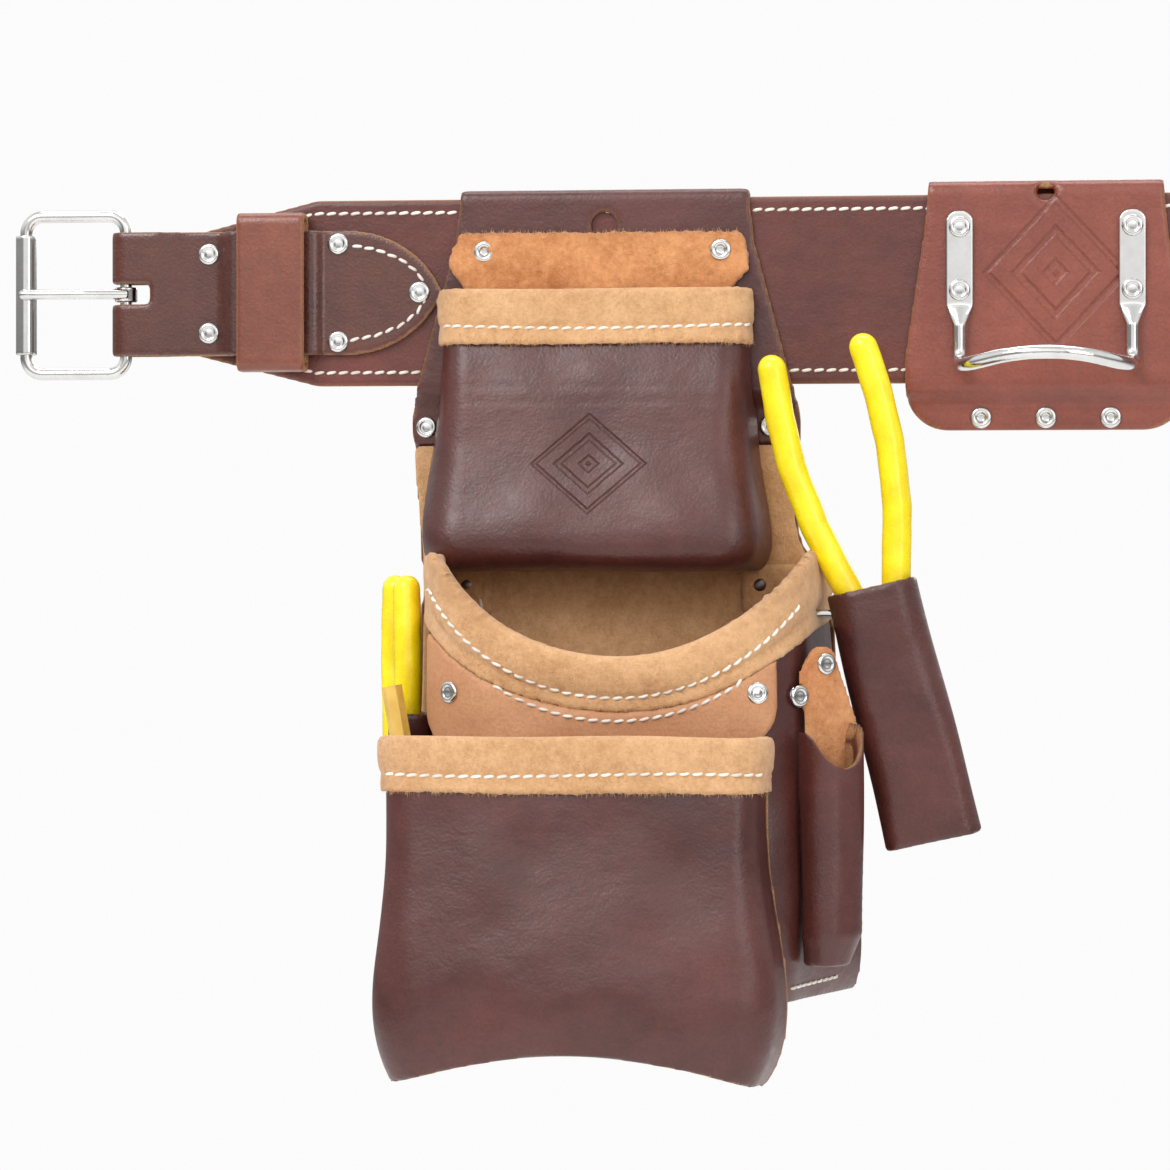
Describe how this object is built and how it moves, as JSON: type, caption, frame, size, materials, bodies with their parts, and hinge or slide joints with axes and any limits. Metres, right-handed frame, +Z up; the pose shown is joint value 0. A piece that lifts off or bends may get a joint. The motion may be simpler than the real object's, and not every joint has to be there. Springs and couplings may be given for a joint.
{
  "type": "tool belt",
  "caption": "Leather work belt with roller buckle, keeper, layered nail bag holding pliers and a pencil, and a steel hammer loop on a leather slide.",
  "frame": {"origin": "Middle of the belt's length and height, on the rear plane that meets the wearer; the hammer holder is centred on it.", "axes": "+X along the belt from the buckle to the tongue, +Y toward the wearer, +Z up as worn; the belt's face looks toward -Y."},
  "size_m": [0.9683, 0.1249, 0.3564],
  "materials": {
    "belt_leather": "dark red-brown waxed bridle leather",
    "strap_leather": "dark brown leather with a glossy finish",
    "keeper_leather": "lighter red-brown leather",
    "bag_leather": "dark red-brown oiled leather",
    "holder_leather": "red-brown oiled leather",
    "suede": "tan suede",
    "tab_suede": "rough orange-tan split leather",
    "apron_leather": "smooth tan leather",
    "nickel": "bright nickel plate",
    "dark_rivet": "dark oxidised cap",
    "tool_steel": "ground tool steel",
    "grip_yellow": "dipped vinyl, glossy",
    "pencil_yellow": "lacquered wood",
    "graphite": "graphite core"
  },
  "bodies": {
    "belt": {"belt_lining": "belt_leather", "belt_outer_layer": "belt_leather", "buckle_strap": "strap_leather", "buckle_end_rivets": "nickel", "tongue_strap": "strap_leather", "tongue_rivets": "nickel"},
    "buckle": {"buckle_frame": "nickel"},
    "roller": {"buckle_roller": "nickel"},
    "prong": {"buckle_prong": "nickel"},
    "keeper": {"keeper_loop": "keeper_leather"},
    "nail_bag": {"bag_hanging_panel": "bag_leather", "bag_suede_lining": "suede", "tunnel_rivets": "nickel", "upper_pouch_back": "tab_suede", "upper_pouch_rivets": "nickel", "upper_pouch_front": "bag_leather", "upper_pouch_binding": "suede", "main_pouch_shell": "bag_leather", "main_pouch_rim": "suede", "rim_rivets": "dark_rivet", "front_apron": "apron_leather", "apron_rivets": "nickel", "front_pouch_shell": "bag_leather", "front_pouch_binding": "suede", "right_pliers_holder": "bag_leather", "right_holder_rivet": "nickel", "left_pliers_holder": "bag_leather", "left_holder_rivet": "nickel", "sheath_back": "tab_suede", "sheath_tube": "bag_leather", "sheath_rivets": "nickel", "pencil_sleeve": "bag_leather"},
    "hammer_holder": {"hammer_holder_leather": "holder_leather", "hammer_holder_rivets": "nickel", "hammer_loop": "nickel", "hammer_loop_rivets": "nickel"},
    "right_pliers_a": {"right_pliers_half_a": "tool_steel", "right_pliers_grip_a": "grip_yellow", "right_pliers_pivot_pin": "tool_steel"},
    "right_pliers_b": {"right_pliers_half_b": "tool_steel", "right_pliers_grip_b": "grip_yellow"},
    "left_pliers_a": {"left_pliers_half_a": "tool_steel", "left_pliers_grip_a": "grip_yellow", "left_pliers_pivot_pin": "tool_steel"},
    "left_pliers_b": {"left_pliers_half_b": "tool_steel", "left_pliers_grip_b": "grip_yellow"},
    "pencil": {"pencil_wood": "pencil_yellow", "pencil_lead": "graphite"}
  },
  "joints": [
    {"name": "buckle_swing", "type": "hinge", "parent": "belt", "child": "buckle", "pos_m": [-0.377, -0.0094, 0], "axis": [0, 0, 1], "range_deg": [-25, 40]},
    {"name": "prong_swing", "type": "hinge", "parent": "buckle", "child": "prong", "pos_m": [-0.377, -0.0094, 0], "axis": [0, 0, 1], "range_deg": [0, 75]},
    {"name": "roller_spin", "type": "hinge", "parent": "buckle", "child": "roller", "pos_m": [-0.419, -0.0094, 0], "axis": [0, 0, 1], "continuous": true},
    {"name": "keeper_slide", "type": "slide", "parent": "belt", "child": "keeper", "axis": [1, 0, 0], "range_m": [-0.0025, 0.0012]},
    {"name": "bag_slide", "type": "slide", "parent": "belt", "child": "nail_bag", "axis": [1, 0, 0], "range_m": [0, 0.01]},
    {"name": "hammer_holder_slide", "type": "slide", "parent": "belt", "child": "hammer_holder", "axis": [1, 0, 0], "range_m": [-0.008, 0.18]},
    {"name": "right_pliers_lift", "type": "slide", "parent": "nail_bag", "child": "right_pliers_a", "axis": [-0.2334, 0, 0.9724], "range_m": [0, 0.13]},
    {"name": "right_pliers_pivot", "type": "hinge", "parent": "right_pliers_a", "child": "right_pliers_b", "pos_m": [-0.05953, -0.0406, -0.15695], "axis": [0, 1, 0], "range_deg": [-7, 0]},
    {"name": "left_pliers_lift", "type": "slide", "parent": "nail_bag", "child": "left_pliers_a", "axis": [0, 0, 1], "range_m": [0, 0.11]},
    {"name": "left_pliers_pivot", "type": "hinge", "parent": "left_pliers_a", "child": "left_pliers_b", "pos_m": [-0.2569, -0.0436, -0.224], "axis": [0.9272, 0.3746, 0], "range_deg": [0, 4]},
    {"name": "pencil_lift", "type": "slide", "parent": "nail_bag", "child": "pencil", "axis": [-0.1736, 0, 0.9848], "range_m": [0, 0.075]}
  ]
}
